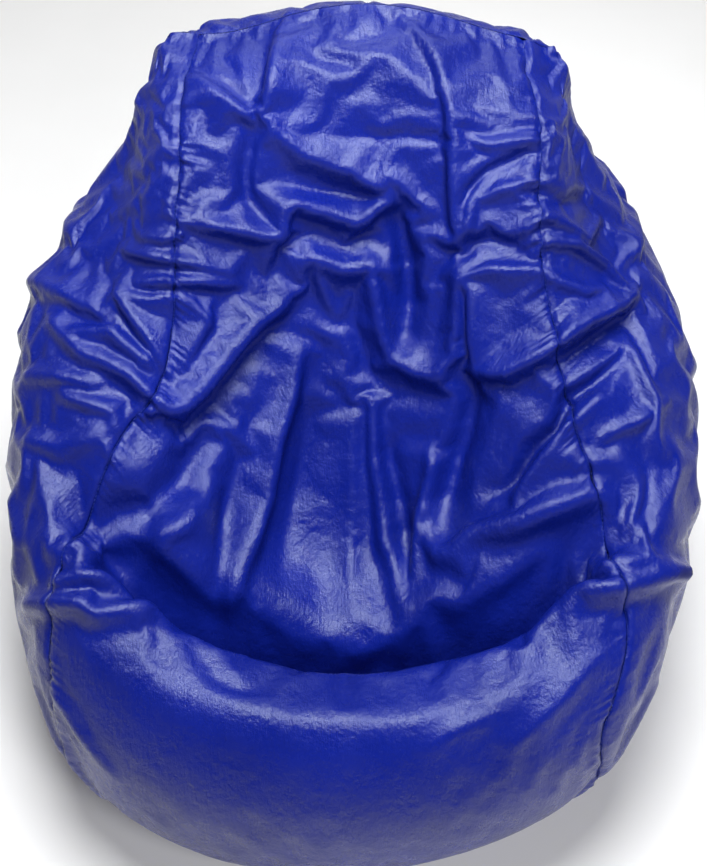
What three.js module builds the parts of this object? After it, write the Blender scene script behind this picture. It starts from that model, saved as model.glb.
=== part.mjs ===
// Bean bag chair: a glossy vinyl cover of five wall panels and a flat base, sewn round a zipped inner
// liner that holds the loose bead filling. Millimetres, +Z up, origin on the floor under the middle of
// the bag. The sitter faces -Y, and left and right are as seen from the front (left is -X).
import * as THREE from 'three';
import { mergeVertices } from 'three/addons/utils/BufferGeometryUtils.js';

// ---- Driving dimensions: the bag's outer shape -------------------------------------------------
// Five profile curves climb from the base edge to the top seam. Each has a point [x, y, z] at the same
// twelve stations, so point n of every profile lies on one ring round the bag: base edge, lower curve,
// belly, roll front, roll top, roll back, crease, seat, lumbar, back, head and top seam.
const FRONT_CENTRE = [
  [0, -395, 3], [0, -500, 70], [0, -534, 155], [0, -512, 265], [0, -432, 345], [0, -347, 300],
  [0, -272, 245], [0, -122, 285], [0, 43, 430], [0, 173, 600], [0, 280, 740], [0, 388, 785],
];
const FRONT_SEAM = [
  [240, -307, 3], [312, -387, 70], [348, -412, 155], [362, -387, 265], [362, -322, 355], [346, -240, 410],
  [318, -154, 445], [276, -54, 495], [242, 53, 570], [234, 153, 655], [234, 248, 722], [226, 372, 754],
];
const SIDE = [
  [355, 18, 3], [430, 18, 75], [456, 18, 165], [464, 33, 265], [465, 53, 355], [458, 83, 435],
  [440, 113, 505], [402, 160, 565], [348, 212, 620], [305, 270, 672], [282, 328, 714], [262, 373.5, 740],
];
const REAR_SEAM = [
  [262, 318, 3], [328, 393, 80], [355, 423, 170], [362, 433, 270], [356, 436, 360], [340, 436, 440],
  [318, 433, 515], [290, 430, 575], [262, 428, 630], [242, 420, 682], [230, 408, 722], [226, 375, 754],
];
// The rear centre seam is straight from the belly station to the back station, where the zips lie.
const REAR_STRAIGHT_FOOT = [0, 534, 160];
const REAR_STRAIGHT_HEAD = [0, 474, 705];
const REAR_BELOW_STRAIGHT = [[0, 438, 3], [0, 505, 75]];
const REAR_ABOVE_STRAIGHT = [[0, 442, 750], [0, 391, 784]];
const BELLY_ROW = 2;
const BACK_ROW = 9;
const TOP_ROW = 11;

// Columns round the bag, one for each profile and its mirror image.
const FRONT_SEAM_COLUMN = 1;
const REAR_SEAM_COLUMN = 3;
const REAR_CENTRE_COLUMN = 4;
const COLUMNS_ROUND = 8;
const STEPS_PER_COLUMN = 4;
const STEPS_PER_ROW = 2;
const NEARBY = 0.01;              // in columns or rows: how far apart points are when a slope is measured

// ---- Driving dimensions: sheets, seams and zips ------------------------------------------------
const COVER_THICKNESS = 1.2;
const BASE_THICKNESS = 1.2;
const LINER_THICKNESS = 1;
const LINER_DEPTH = 2.4;          // from the cover's outer face to the liner's outer face
const LINER_GROOVE = 4.3;         // extra depth along the rear centre, which makes room for the outer zip
const FILL_DEPTH = 4.6;           // from the cover's outer face to the beads
const FILL_GROOVE = 8;            // extra depth along the rear centre, which makes room for the inner zip
const RIDGE_DROP = 1.5;           // under the top seam, the liner and beads lie this many times deeper
const RIDGE_SHRINK = 0.012;       // and their ridge is shorter by this fraction for each mm of depth
const SEAM_GAP = 3;
const THREAD = 1.2;
const BASE_THREAD_HEIGHT = 1.6;
const BASE_THREAD_INSET = 0.8;
const BASE_THREAD_THICKNESS = 1;
const ZIP_GAP = 11;
const ZIP_FIRST_ROW = 3;
const ZIP_LAST_ROW = 8;
const THREAD_TO_ZIP = 0.5;        // rows between the zip's ends and the centre seam's thread
const CHAIN_LENGTH = 380;
const TEETH_WIDTH = 2.6;
const TEETH_THICKNESS = 2.2;
const TEETH_DEPTH = 2;            // from the sheet's outer face to the middle of the teeth
const TAPE_WIDTH = 11;
const TAPE_THICKNESS = 0.6;
const TAPE_DEPTH = 3.2;
const TAPE_OVERRUN = 6;           // tape past each end of the chain
const STOP_LENGTH = 4;
const SLIDER_LENGTH = 16;
const SLIDER_WALL = 0.9;
const CLEARANCE = 0.3;            // between neighbours that touch on the real bag
const STITCH_WIDTH = 1;
const STITCH_HEIGHT = 0.5;
const STITCH_OFFSET = 9;          // from the zip's centre line
const LABEL = { width: 32, height: 46, thickness: 0.6, standoff: 2 };

// ---- Materials ---------------------------------------------------------------------------------
const material = (color, roughness, metalness = 0) => (
  new THREE.MeshStandardMaterial({ color, roughness, metalness })
);
const VINYL = material(0x222f92, 0.25);
const THREAD_BLUE = material(0x1b2670, 0.7);
const LINER_CLOTH = material(0xe8e8e4, 0.9);
const BEADS = material(0xf6f6f2, 0.85);
const ZIP_TAPE = material(0x161d52, 0.85);
const ZIP_TEETH = material(0x10132c, 0.4);
const ZIP_METAL = material(0x8c8f96, 0.35, 1);
const LABEL_CLOTH = material(0xf2f2ee, 0.8);

// ---- The outer surface -------------------------------------------------------------------------
const vector = ([x, y, z]) => new THREE.Vector3(x, y, z);
const mirrored = (profile) => profile.map(([x, y, z]) => [-x, y, z]);

function spline(points, closed) {
  return new THREE.CatmullRomCurve3(points, closed, 'catmullrom', 0.5);
}

function rearCentre() {
  const foot = vector(REAR_STRAIGHT_FOOT);
  const head = vector(REAR_STRAIGHT_HEAD);
  const straight = [];
  for (let row = BELLY_ROW; row <= BACK_ROW; row += 1) {
    const fraction = (row - BELLY_ROW) / (BACK_ROW - BELLY_ROW);
    straight.push(foot.clone().lerp(head, fraction).toArray());
  }
  return [...REAR_BELOW_STRAIGHT, ...straight, ...REAR_ABOVE_STRAIGHT];
}

const PROFILES = [
  FRONT_CENTRE, FRONT_SEAM, SIDE, REAR_SEAM, rearCentre(),
  mirrored(REAR_SEAM), mirrored(SIDE), mirrored(FRONT_SEAM),
].map((profile) => spline(profile.map(vector), false));

function outerPoint(column, row) {
  const ring = spline(PROFILES.map((profile) => profile.getPoint(row / TOP_ROW)), true);
  const wrapped = ((column % COLUMNS_ROUND) + COLUMNS_ROUND) % COLUMNS_ROUND;
  return ring.getPoint(wrapped / COLUMNS_ROUND);
}

// A point under the outer surface: `depth` inwards and `sideways` anticlockwise round the bag. At the
// top seam the walls meet in a ridge, so there inwards is straight down.
function skinPoint(column, row, depth, sideways = 0) {
  const along = outerPoint(column + NEARBY, row).sub(outerPoint(column - NEARBY, row)).normalize();
  const above = outerPoint(column, Math.min(row + NEARBY, TOP_ROW));
  const below = outerPoint(column, Math.max(row - NEARBY, 0));
  const climb = above.sub(below).normalize();
  const outwards = row === TOP_ROW ? new THREE.Vector3(0, 0, 1) : along.clone().cross(climb).normalize();
  return outerPoint(column, row).addScaledVector(along, sideways).addScaledVector(outwards, -depth);
}

function steps(first, last, perUnit) {
  const count = Math.round((last - first) * perUnit);
  return Array.from({ length: count + 1 }, (_, index) => first + index / perUnit);
}

// ---- Solids from grids of points ---------------------------------------------------------------
// A grid is a list of rows; rows climb and columns run anticlockwise, so its faces look outwards.
const quad = (a, b, c, d) => [[a, b, c], [a, c, d]];
const turnedOver = (triangles) => triangles.map(([a, b, c]) => [c, b, a]);

function solid(triangles) {
  const sameSpot = 1e-4;
  const whole = triangles.filter(([a, b, c]) => (
    a.distanceTo(b) > sameSpot && b.distanceTo(c) > sameSpot && c.distanceTo(a) > sameSpot
  ));
  const soup = new THREE.BufferGeometry().setFromPoints(whole.flat());
  const geometry = mergeVertices(soup, sameSpot);
  geometry.computeVertexNormals();
  return geometry;
}

function gridFaces(grid) {
  const faces = [];
  for (let i = 0; i + 1 < grid.length; i += 1) {
    for (let j = 0; j + 1 < grid[i].length; j += 1) {
      faces.push(...quad(grid[i][j], grid[i][j + 1], grid[i + 1][j + 1], grid[i + 1][j]));
    }
  }
  return faces;
}

// The narrow faces that join two sheets along one edge, which runs with the outer sheet on its left.
function rimFaces(outerEdge, innerEdge) {
  const faces = [];
  for (let i = 0; i + 1 < outerEdge.length; i += 1) {
    faces.push(...quad(outerEdge[i + 1], outerEdge[i], innerEdge[i], innerEdge[i + 1]));
  }
  return faces;
}

function boundary(grid) {
  const last = grid.length - 1;
  const end = grid[0].length - 1;
  const right = grid.map((row) => row[end]);
  const left = grid.map((row) => row[0]).reverse();
  return [...grid[0], ...right.slice(1), ...[...grid[last]].reverse().slice(1), ...left.slice(1)];
}

function slab(outer, inner) {
  return solid([
    ...gridFaces(outer), ...turnedOver(gridFaces(inner)), ...rimFaces(boundary(outer), boundary(inner)),
  ]);
}

// ---- Cover -------------------------------------------------------------------------------------
const ROWS = steps(0, TOP_ROW, STEPS_PER_ROW);
const sewnEdge = () => SEAM_GAP / 2;
const isZipRow = (row) => row >= ZIP_FIRST_ROW && row <= ZIP_LAST_ROW;
const zippedEdge = (row) => (isZipRow(row) ? ZIP_GAP / 2 : SEAM_GAP / 2);

function wallPanel(firstColumn, lastColumn, firstEdge, lastEdge) {
  const columns = steps(firstColumn, lastColumn, STEPS_PER_COLUMN);
  const sideways = (column, row) => {
    if (column === firstColumn) return firstEdge(row);
    if (column === lastColumn) return -lastEdge(row);
    return 0;
  };
  const sheet = (depth) => ROWS.map((row) => (
    columns.map((column) => skinPoint(column, row, depth, sideways(column, row)))
  ));
  return slab(sheet(0), sheet(COVER_THICKNESS));
}

// The bag's footprint, moved `inset` towards its middle.
function footprint(inset) {
  return steps(0, COLUMNS_ROUND, STEPS_PER_COLUMN).slice(1).map((column) => {
    const edge = outerPoint(column, 0);
    const along = outerPoint(column + NEARBY, 0).sub(outerPoint(column - NEARBY, 0)).normalize();
    return new THREE.Vector2(edge.x - along.y * inset, edge.y + along.x * inset);
  });
}

function basePanel() {
  return new THREE.ExtrudeGeometry(new THREE.Shape(footprint(SEAM_GAP / 2)), {
    depth: BASE_THICKNESS, bevelEnabled: false,
  });
}

// ---- Seam threads ------------------------------------------------------------------------------
function wallSeamThread(column, firstRow, lastRow) {
  const sheet = (depth) => steps(firstRow, lastRow, STEPS_PER_ROW).map((row) => [
    skinPoint(column, row, depth, -THREAD / 2), skinPoint(column, row, depth, THREAD / 2),
  ]);
  return slab(sheet(0), sheet(THREAD));
}

function topSeamThread() {
  const columns = steps(-FRONT_SEAM_COLUMN, FRONT_SEAM_COLUMN, STEPS_PER_COLUMN);
  const line = (depth, shift) => columns.map((column) => {
    const front = skinPoint(column, TOP_ROW, depth);
    const rear = skinPoint(REAR_CENTRE_COLUMN - column, TOP_ROW, depth);
    const middle = front.lerp(rear, 0.5);
    middle.y += shift;
    return middle;
  });
  const sheet = (depth) => [line(depth, -THREAD / 2), line(depth, THREAD / 2)];
  return slab(sheet(0), sheet(THREAD));
}

function baseSeamThread() {
  const ring = new THREE.Shape(footprint(BASE_THREAD_INSET));
  ring.holes.push(new THREE.Path(footprint(BASE_THREAD_INSET + THREAD)));
  const geometry = new THREE.ExtrudeGeometry(ring, { depth: BASE_THREAD_THICKNESS, bevelEnabled: false });
  return geometry.translate(0, 0, BASE_THREAD_HEIGHT);
}

// ---- Liner and filling -------------------------------------------------------------------------
// A skin that goes right round the bag, starting and ending at the rear centre.
function skinGrid(depth, groove, slit) {
  const firstColumn = REAR_CENTRE_COLUMN;
  const lastColumn = REAR_CENTRE_COLUMN + COLUMNS_ROUND;
  const columns = steps(firstColumn, lastColumn, STEPS_PER_COLUMN);
  const point = (column, row) => {
    const halfSlit = isZipRow(row) ? slit / 2 : 0;
    if (column === firstColumn) return skinPoint(column, row, depth + groove, halfSlit);
    if (column === lastColumn) return skinPoint(column, row, depth + groove, -halfSlit);
    return skinPoint(column, row, depth);
  };
  const ridgePoint = (column) => {
    const isRearCentre = column === firstColumn || column === lastColumn;
    const ridge = skinPoint(column, TOP_ROW, depth * RIDGE_DROP + (isRearCentre ? groove : 0));
    ridge.x *= 1 - RIDGE_SHRINK * depth;
    return ridge;
  };
  const walls = ROWS.slice(0, -1).map((row) => columns.map((column) => point(column, row)));
  return [...walls, columns.map(ridgePoint)];
}

function bottomFaces(ring) {
  const middle = new THREE.Vector3();
  ring.forEach((point) => middle.add(point));
  middle.divideScalar(ring.length);
  return ring.slice(1).map((point, index) => [point, ring[index], middle]);
}

// The ridge strip that joins the front of the top ring to its rear, from one corner to the other.
function ridgeFaces(ring) {
  const quarter = (ring.length - 1) / 4;
  const faces = [];
  for (let step = 0; step < quarter; step += 1) {
    for (const [start, mirrorSum] of [[0, 2 * quarter], [2 * quarter, 6 * quarter]]) {
      const rear = start + step;
      const front = mirrorSum - rear;
      faces.push(...quad(ring[rear], ring[rear + 1], ring[front - 1], ring[front]));
    }
  }
  return faces;
}

const skinFaces = (grid) => [...gridFaces(grid), ...bottomFaces(grid[0]), ...ridgeFaces(grid.at(-1))];

function beadFill() {
  return solid(skinFaces(skinGrid(FILL_DEPTH, FILL_GROOVE, 0)));
}

function innerLiner() {
  const outer = skinGrid(LINER_DEPTH, LINER_GROOVE, ZIP_GAP);
  const inner = skinGrid(LINER_DEPTH + LINER_THICKNESS, LINER_GROOVE, ZIP_GAP);
  const slitRows = [...ROWS.keys()].filter((index) => (
    isZipRow(ROWS[index]) || isZipRow(ROWS[index + 1]) || isZipRow(ROWS[index - 1])
  ));
  const edge = (grid, side) => slitRows.map((index) => grid[index].at(side));
  return solid([
    ...skinFaces(outer), ...turnedOver(skinFaces(inner)),
    ...rimFaces(edge(outer, -1), edge(inner, -1)),
    ...rimFaces(edge(outer, 0).reverse(), edge(inner, 0).reverse()),
  ]);
}

// ---- Zips --------------------------------------------------------------------------------------
// Each zip is drawn in its own frame: X across it, Y out of the bag, Z up along the straight seam.
function sliderSleeve() {
  const innerX = TEETH_WIDTH + 2 * CLEARANCE;
  const innerY = TEETH_THICKNESS / 2 + CLEARANCE;
  const rectangle = (x, y) => [
    new THREE.Vector2(-x, -y), new THREE.Vector2(x, -y), new THREE.Vector2(x, y), new THREE.Vector2(-x, y),
  ];
  const sleeve = new THREE.Shape(rectangle(innerX + SLIDER_WALL, innerY + SLIDER_WALL));
  sleeve.holes.push(new THREE.Path(rectangle(innerX, innerY)));
  const geometry = new THREE.ExtrudeGeometry(sleeve, { depth: SLIDER_LENGTH, bevelEnabled: false });
  return geometry.translate(0, 0, -SLIDER_LENGTH / 2);
}

function piece(name, geometry, look, x = 0, y = 0, z = 0) {
  const mesh = new THREE.Mesh(geometry, look);
  mesh.name = name;
  mesh.position.set(x, y, z);
  return mesh;
}

function zip(prefix, depth, hasStitching) {
  const foot = vector(REAR_STRAIGHT_FOOT);
  const head = vector(REAR_STRAIGHT_HEAD);
  const lean = Math.atan2(foot.y - head.y, head.z - foot.z);
  const frame = new THREE.Group();
  frame.position.copy(skinPoint(REAR_CENTRE_COLUMN, (ZIP_FIRST_ROW + ZIP_LAST_ROW) / 2, depth));
  frame.rotation.x = lean;

  const teeth = new THREE.BoxGeometry(TEETH_WIDTH, TEETH_THICKNESS, CHAIN_LENGTH);
  const tape = new THREE.BoxGeometry(TAPE_WIDTH, TAPE_THICKNESS, CHAIN_LENGTH + 2 * TAPE_OVERRUN);
  const stitching = new THREE.BoxGeometry(STITCH_WIDTH, STITCH_HEIGHT, CHAIN_LENGTH);
  const teethX = (TEETH_WIDTH + CLEARANCE) / 2;
  const sliderHalfWidth = TEETH_WIDTH + 2 * CLEARANCE + SLIDER_WALL;
  const tapeX = sliderHalfWidth + CLEARANCE + TAPE_WIDTH / 2;
  for (const [side, sign] of [['left', -1], ['right', 1]]) {
    frame.add(piece(`${prefix}_zip_teeth_${side}`, teeth, ZIP_TEETH, sign * teethX, -TEETH_DEPTH));
    frame.add(piece(`${prefix}_zip_tape_${side}`, tape, ZIP_TAPE, sign * tapeX, -TAPE_DEPTH));
    if (hasStitching) {
      const name = `${prefix}_zip_stitching_${side}`;
      frame.add(piece(name, stitching, THREAD_BLUE, sign * STITCH_OFFSET, STITCH_HEIGHT));
    }
  }

  const stop = new THREE.BoxGeometry(2 * TEETH_WIDTH, TEETH_THICKNESS, STOP_LENGTH);
  const stopZ = CHAIN_LENGTH / 2 + CLEARANCE + STOP_LENGTH / 2;
  frame.add(piece(`${prefix}_zip_top_stop`, stop, ZIP_METAL, 0, -TEETH_DEPTH, stopZ));
  frame.add(piece(`${prefix}_zip_bottom_stop`, stop, ZIP_METAL, 0, -TEETH_DEPTH, -stopZ));
  const closedZ = (CHAIN_LENGTH - SLIDER_LENGTH) / 2;
  frame.add(piece(`${prefix}_zip_slider`, sliderSleeve(), ZIP_METAL, 0, -TEETH_DEPTH, closedZ));
  return frame;
}

// ---- Label: a blank cloth tag that lies on the rear panel beside the left rear seam --------------
function careLabel() {
  const column = COLUMNS_ROUND - REAR_SEAM_COLUMN - 1 / (2 * STEPS_PER_COLUMN);
  const row = BELLY_ROW - 1 / (2 * STEPS_PER_ROW);
  const centre = skinPoint(column, row, -LABEL.standoff);
  const cloth = new THREE.BoxGeometry(LABEL.width, LABEL.height, LABEL.thickness);
  const tag = piece('care_label', cloth, LABEL_CLOTH);
  tag.position.copy(centre);
  tag.up.set(0, 0, 1);
  tag.lookAt(skinPoint(column, row, -LABEL.standoff - 1));
  return tag;
}

// ---- Assembly ----------------------------------------------------------------------------------
const leftFrontSeam = -FRONT_SEAM_COLUMN;
const leftRearSeam = COLUMNS_ROUND - REAR_SEAM_COLUMN;
const leftFrontSeamFromRear = COLUMNS_ROUND - FRONT_SEAM_COLUMN;

const lowerCentreThread = wallSeamThread(REAR_CENTRE_COLUMN, 0, ZIP_FIRST_ROW - THREAD_TO_ZIP);
const upperCentreThread = wallSeamThread(REAR_CENTRE_COLUMN, ZIP_LAST_ROW + THREAD_TO_ZIP, TOP_ROW);

const beanBag = new THREE.Group();
beanBag.add(
  piece('front_panel', wallPanel(leftFrontSeam, FRONT_SEAM_COLUMN, sewnEdge, sewnEdge), VINYL),
  piece('side_panel_right', wallPanel(FRONT_SEAM_COLUMN, REAR_SEAM_COLUMN, sewnEdge, sewnEdge), VINYL),
  piece('side_panel_left', wallPanel(leftRearSeam, leftFrontSeamFromRear, sewnEdge, sewnEdge), VINYL),
  piece('rear_panel_right', wallPanel(REAR_SEAM_COLUMN, REAR_CENTRE_COLUMN, sewnEdge, zippedEdge), VINYL),
  piece('rear_panel_left', wallPanel(REAR_CENTRE_COLUMN, leftRearSeam, zippedEdge, sewnEdge), VINYL),
  piece('base_panel', basePanel(), VINYL),
  piece('inner_liner', innerLiner(), LINER_CLOTH),
  piece('bead_fill', beadFill(), BEADS),
  piece('front_seam_thread_right', wallSeamThread(FRONT_SEAM_COLUMN, 0, TOP_ROW), THREAD_BLUE),
  piece('front_seam_thread_left', wallSeamThread(leftFrontSeam, 0, TOP_ROW), THREAD_BLUE),
  piece('rear_seam_thread_right', wallSeamThread(REAR_SEAM_COLUMN, 0, TOP_ROW), THREAD_BLUE),
  piece('rear_seam_thread_left', wallSeamThread(leftRearSeam, 0, TOP_ROW), THREAD_BLUE),
  piece('centre_seam_thread_lower', lowerCentreThread, THREAD_BLUE),
  piece('centre_seam_thread_upper', upperCentreThread, THREAD_BLUE),
  piece('top_seam_thread', topSeamThread(), THREAD_BLUE),
  piece('base_seam_thread', baseSeamThread(), THREAD_BLUE),
  zip('outer', 0, true),
  zip('inner', LINER_DEPTH + LINER_GROOVE, false),
  careLabel(),
);

export default beanBag;
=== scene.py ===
"""Looks of the bean bag chair: a creased glossy vinyl cover over its liner and beads, with two zips.

Metres, +Z up, the sitter faces -Y, left is -X. A place on the bag is (column, row). Columns run round the
bag through the five profiles, from 0 at the front centre to 4 at the rear centre, and -1..-3 are the mirror
images on the left. Rows climb from 0 at the floor to 11 at the top seam.
"""

import math

import bmesh
import bpy
import numpy as np
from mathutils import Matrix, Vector

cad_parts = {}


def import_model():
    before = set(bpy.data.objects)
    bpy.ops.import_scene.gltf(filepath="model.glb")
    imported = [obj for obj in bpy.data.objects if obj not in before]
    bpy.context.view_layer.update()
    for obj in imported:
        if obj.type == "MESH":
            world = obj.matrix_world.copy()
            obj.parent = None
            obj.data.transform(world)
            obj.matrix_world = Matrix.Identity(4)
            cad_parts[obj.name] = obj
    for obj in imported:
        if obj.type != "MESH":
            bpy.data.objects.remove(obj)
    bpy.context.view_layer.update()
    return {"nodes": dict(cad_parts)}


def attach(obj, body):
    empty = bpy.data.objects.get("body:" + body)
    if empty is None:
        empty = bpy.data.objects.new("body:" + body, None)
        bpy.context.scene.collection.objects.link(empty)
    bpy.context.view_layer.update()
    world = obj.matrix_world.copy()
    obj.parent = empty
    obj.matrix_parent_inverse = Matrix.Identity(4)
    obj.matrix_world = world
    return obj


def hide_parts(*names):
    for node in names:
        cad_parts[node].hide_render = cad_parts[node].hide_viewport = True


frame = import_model()
MM = 0.001

# ---- The bag's outer shape, as in the CAD model ----
FRONT_CENTRE = [
    (0, -.395, .003), (0, -.500, .070), (0, -.534, .155), (0, -.512, .265),
    (0, -.432, .345), (0, -.347, .300), (0, -.272, .245), (0, -.122, .285),
    (0, .043, .430), (0, .173, .600), (0, .280, .740), (0, .388, .785),
]
FRONT_SEAM = [
    (.240, -.307, .003), (.312, -.387, .070), (.348, -.412, .155), (.362, -.387, .265),
    (.362, -.322, .355), (.346, -.240, .410), (.318, -.154, .445), (.276, -.054, .495),
    (.242, .053, .570), (.234, .153, .655), (.234, .248, .722), (.226, .372, .754),
]
SIDE = [
    (.355, .018, .003), (.430, .018, .075), (.456, .018, .165), (.464, .033, .265),
    (.465, .053, .355), (.458, .083, .435), (.440, .113, .505), (.402, .160, .565),
    (.348, .212, .620), (.305, .270, .672), (.282, .328, .714), (.262, .3735, .740),
]
REAR_SEAM = [
    (.262, .318, .003), (.328, .393, .080), (.355, .423, .170), (.362, .433, .270),
    (.356, .436, .360), (.340, .436, .440), (.318, .433, .515), (.290, .430, .575),
    (.262, .428, .630), (.242, .420, .682), (.230, .408, .722), (.226, .375, .754),
]
REAR_FOOT = np.array((0, .534, .160))      # the rear centre seam is straight between these two
REAR_HEAD = np.array((0, .474, .705))
REAR_STRAIGHT = [tuple(REAR_FOOT + (REAR_HEAD - REAR_FOOT) * step / 7) for step in range(8)]
REAR_CENTRE = [(0, .438, .003), (0, .505, .075), *REAR_STRAIGHT, (0, .442, .750), (0, .391, .784)]


def mirrored(profile):
    return [(-x, y, z) for x, y, z in profile]


PROFILES = [
    FRONT_CENTRE, FRONT_SEAM, SIDE, REAR_SEAM, REAR_CENTRE,
    mirrored(REAR_SEAM), mirrored(SIDE), mirrored(FRONT_SEAM),
]
NET = np.array(PROFILES, float).transpose(1, 0, 2)
COLUMNS = NET.shape[1]
TOP_ROW = NET.shape[0] - 1


def spline(p0, p1, p2, p3, f):
    """Catmull-Rom between p1 and p2."""
    return 0.5 * (
        2 * p1 + (p2 - p0) * f + (2 * p0 - 5 * p1 + 4 * p2 - p3) * f**2
        + (-p0 + 3 * p1 - 3 * p2 + p3) * f**3
    )


EXTENDED_NET = np.concatenate([2 * NET[:1] - NET[1:2], NET, 2 * NET[-1:] - NET[-2:-1]])


def smooth_skin(columns, rows):
    """Points of the smooth bag at arrays of columns and rows of the same shape."""
    columns, rows = np.broadcast_arrays(columns, rows)
    row = np.clip(np.floor(rows).astype(int), 0, TOP_ROW - 1)
    column = np.floor(columns).astype(int)
    row_part = (rows - row)[..., None]
    column_part = (columns - column)[..., None]
    climbed = []
    for offset in range(-1, 3):
        ring = (column + offset) % COLUMNS
        climbed.append(spline(*(EXTENDED_NET[row + k, ring] for k in range(4)), row_part))
    return spline(*climbed, column_part)


# ---- The working grid: where the cloth is folded and simulated ----
STEPS_BY_COLUMN = [50, 46, 42, 42, 42, 42, 46, 50]
STEPS_BY_ROW = [14, 15, 18, 18, 16, 16, 26, 36, 34, 28, 16]


def stations(steps):
    """0, 1, 2, ... with each whole step split into that many parts; the last station is left out."""
    return np.concatenate([start + np.arange(count) / count for start, count in enumerate(steps)])


GRID_COLUMNS = stations(STEPS_BY_COLUMN)
GRID_ROWS = np.append(stations(STEPS_BY_ROW), TOP_ROW)
COLUMN_AT, ROW_AT = np.meshgrid(GRID_COLUMNS, GRID_ROWS)


def grid_index(column):
    """Index of a whole column in the working grid."""
    return int(sum(STEPS_BY_COLUMN[:column]))


def columns_between(first, last):
    """Indices in the working grid from one whole column to another, to the right as seen from outside."""
    start = grid_index(first % COLUMNS)
    count = (grid_index(last % COLUMNS) - start) % len(GRID_COLUMNS)
    return np.arange(start, start + count + 1) % len(GRID_COLUMNS)


def round_distance(a, b):
    """Signed column distance from b to a, the short way round."""
    return (a - b + COLUMNS / 2) % COLUMNS - COLUMNS / 2


def bell(distance, reach):
    """1 in the middle and almost 0 at twice the reach."""
    return np.exp(-(distance / reach) ** 2)


def ramp(distance, length):
    """0 up to distance 0, then rising evenly to 1 over that length."""
    return np.clip(distance / length, 0, 1)


def grid_quads(rows, columns, closed=False):
    """Faces of a grid of points; a closed one joins its last column to its first."""
    index = np.arange(rows * columns).reshape(rows, columns)
    after = np.roll(index, -1, 1)
    if not closed:
        index, after = index[:, :-1], after[:, :-1]
    return np.stack([index[:-1], after[:-1], after[1:], index[1:]], -1).reshape(-1, 4)


def normals_of(points):
    """Outward normals of a grid that closes round on itself."""
    along = np.roll(points, -1, 1) - np.roll(points, 1, 1)
    up = np.gradient(points, axis=0)
    normal = np.cross(along, up)
    return normal / (np.linalg.norm(normal, axis=-1, keepdims=True) + 1e-12)


# The front seams wander: (seam's column, row, reach in rows, move in columns).
BEND_WIDTH = .7     # columns beside the seam that move with it
SEAM_BENDS = [
    (-1, 7.45, .7, .09),
    (1, 7.75, .6, .04),
    (1, 5.0, .8, -.04),
    (1, 3.25, .8, -.13),
]


def seams_bent(columns, rows):
    """The grid's columns moved so that the front seams run where they were sewn."""
    for seam, row, reach, move in SEAM_BENDS:
        beside = np.clip(1 - np.abs(round_distance(columns, seam)) / BEND_WIDTH, 0, 1)
        columns = columns + move * beside * bell(rows - row, reach)
    return columns


# Where the shape differs from the smooth one: (column, row, reach in columns, reach in rows, move in mm).
SHIFTS = [
    (0, 5.7, .85, .42, (0, -18, -104)),
    (-.62, 5.6, .3, .42, (0, -16, -52)),
    (.62, 5.6, .3, .42, (0, -16, -52)),
    (0, 6.38, .75, .28, (0, -32, 16)),
    (0, 4.9, .9, .3, (0, 8, 10)),
    (1.45, 11, .6, 1.0, (-26, 0, -5)),
    (-.75, 11, .4, .5, (4, 0, -17)),
    (.7, 11, .3, .5, (-4, 0, -5)),
]
# The cover is not quite even: (column, row, reach in columns, reach in rows, height in mm).
UNEVEN = [
    (2.1, 8.4, .8, 2.0, -34),
    (2.45, 6.15, .5, .9, -22),
    (-2.35, 6.25, .5, .9, -20),
    (-2.0, 9.3, .4, .8, 16),
    (1.75, 7.5, .5, 1.2, -20),
    (-1.75, 7.9, .5, 1.3, -18),
    (1.3, 1.2, .8, 1.6, -40),
    (-1.3, 1.3, .7, 1.5, -14),
    (-2.3, 8.6, .7, 1.3, -20),
    (0.5, 1.0, .5, 1.2, -12),
    (1.5, 10.4, .5, .6, -8),
    (-1.9, 6.2, .5, .9, 8),
    (3.4, 4.0, .7, 2.0, 8),
    (-3.0, 3.0, .8, 1.5, 9),
    (-3.2, 7.5, .6, 1.2, -8),
]

# ---- Folds ----
# Each fold: (line of (column, row, height in mm), width on its left in mm, width on its right in mm).
# Left and right are as met when following the line with the outside of the bag upwards.
HEAD_FOLDS = [
    ([(-.45, 10.85, 4), (-.45, 10.4, 11), (-.46, 10.05, 13), (-.5, 9.8, 6)], 38, 14),
    ([(-.5, 10.7, -3), (-.51, 10.4, -7), (-.52, 10.05, -8)], 12, 25),
    ([(-.9, 10.3, 4), (-.78, 10.12, 9), (-.67, 9.96, 10), (-.56, 9.8, 6)], 12, 32),
    ([(-.72, 10.25, -3), (-.64, 10.1, -7), (-.55, 9.93, -7)], 16, 10),
    ([(-.71, 10.5, -5), (-.62, 10.19, -3)], 10, 15),
    ([(-.24, 10.29, -4), (-.05, 10.18, -3)], 8, 8),
    ([(-.06, 10.16, 1), (.05, 10.28, 3), (.14, 10.25, 4), (.26, 10.08, 4), (.36, 9.89, 3)], 24, 34),
    ([(.23, 10.9, 2), (.35, 10.4, 7), (.45, 9.75, 10), (.49, 9.19, 12), (.51, 8.85, 8)], 45, 12),
    ([(-.39, 9.64, -1), (-.06, 9.56, -1.5), (.2, 9.58, -1.5), (.45, 9.61, -1)], 8, 8),
    ([(.45, 9.65, 5), (.65, 9.61, 7), (.9, 9.71, 4)], 12, 14),
    ([(.56, 9.21, -5), (.66, 9.4, -9), (.78, 9.5, -7), (.9, 9.59, -4)], 8, 16),
    ([(.61, 9.12, 6), (.72, 9.2, 8), (.93, 9.24, 5)], 12, 14),
    ([(.51, 8.83, 8), (.57, 8.91, 10), (.59, 9.14, 9), (.66, 9.38, 7), (.74, 9.47, 3)], 20, 15),
    ([(.57, 8.78, -6), (.68, 8.78, -9), (.82, 8.66, -6)], 15, 22),
]
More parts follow.
